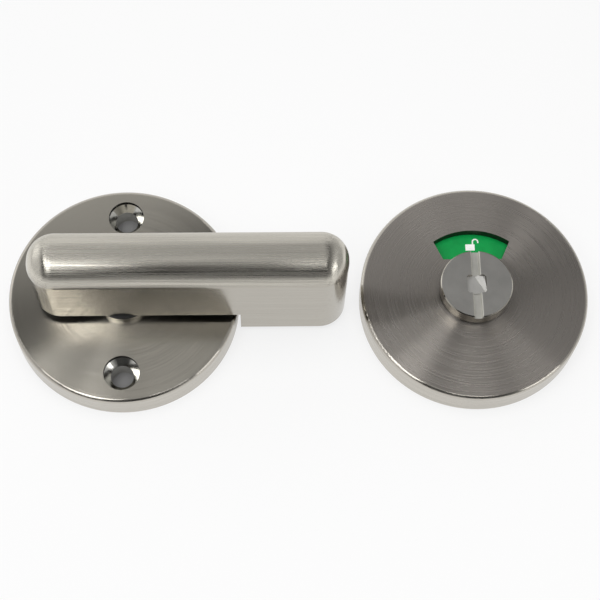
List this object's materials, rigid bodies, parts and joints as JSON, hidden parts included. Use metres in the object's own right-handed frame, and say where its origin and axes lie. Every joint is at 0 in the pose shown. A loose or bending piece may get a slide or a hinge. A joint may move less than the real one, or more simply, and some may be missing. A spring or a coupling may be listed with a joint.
{
  "type": "toilet indicator bolt",
  "caption": "Toilet door indicator bolt: a turn lever with a lowered bolt tail on a round rose, and a coin-release indicator rose with a green and red window, joined by a square spindle.",
  "frame": {"origin": "on the lever's turning axis, in the plane of the door's face that the inside rose sits on", "axes": "+Z points away from the door along the turning axis, +X along the bolt tail towards the outside half as it lies beside, +Y towards the indicator's window side"},
  "size_m": [0.152, 0.06, 0.0625],
  "materials": {
    "rose_nickel": "satin nickel, brushed in circles",
    "lever_nickel": "satin nickel, brushed lengthwise",
    "knob_nickel": "matt nickel top, polished rim",
    "bush_nickel": "turned, nickel plated",
    "spindle_steel": "drawn, zinc plated",
    "zinc_steel": "zinc plated",
    "black_steel": "blackened spring steel",
    "dark_nylon": "moulded nylon",
    "white_nylon": "moulded nylon",
    "green_label": "printed film",
    "red_label": "printed film"
  },
  "bodies": {
    "root": {"inside_rose": "rose_nickel", "inside_bush": "bush_nickel", "outside_rose": "rose_nickel", "outside_bush": "bush_nickel", "outside_back_plate": "zinc_steel", "back_plate_screws": "zinc_steel"},
    "lever": {"turn_lever": "lever_nickel", "lever_hub": "zinc_steel", "lever_grub_screw": "black_steel", "lever_thrust_washer": "dark_nylon", "stop_washer": "zinc_steel", "inside_disc_spring": "black_steel", "inside_flat_washer": "zinc_steel", "inside_circlip": "black_steel"},
    "indicator": {"release_knob": "knob_nickel", "spindle": "spindle_steel", "indicator_disc": "white_nylon", "vacant_label": "green_label", "engaged_label": "red_label", "outside_disc_spring": "black_steel", "outside_flat_washer": "zinc_steel", "outside_circlip": "black_steel"}
  },
  "joints": [
    {"name": "lever_turn", "type": "hinge", "parent": "root", "child": "lever", "pos_m": [0, 0, 0.0105], "axis": [0, 0, 1], "range_deg": [0, 90]},
    {"name": "indicator_turn", "type": "hinge", "parent": "root", "child": "indicator", "pos_m": [0.092, 0, 0.008], "axis": [0, 0, 1], "range_deg": [-90, 0]}
  ],
  "couplings": [
    {"joint": "indicator_turn", "follows": "lever_turn", "ratio": -1}
  ]
}
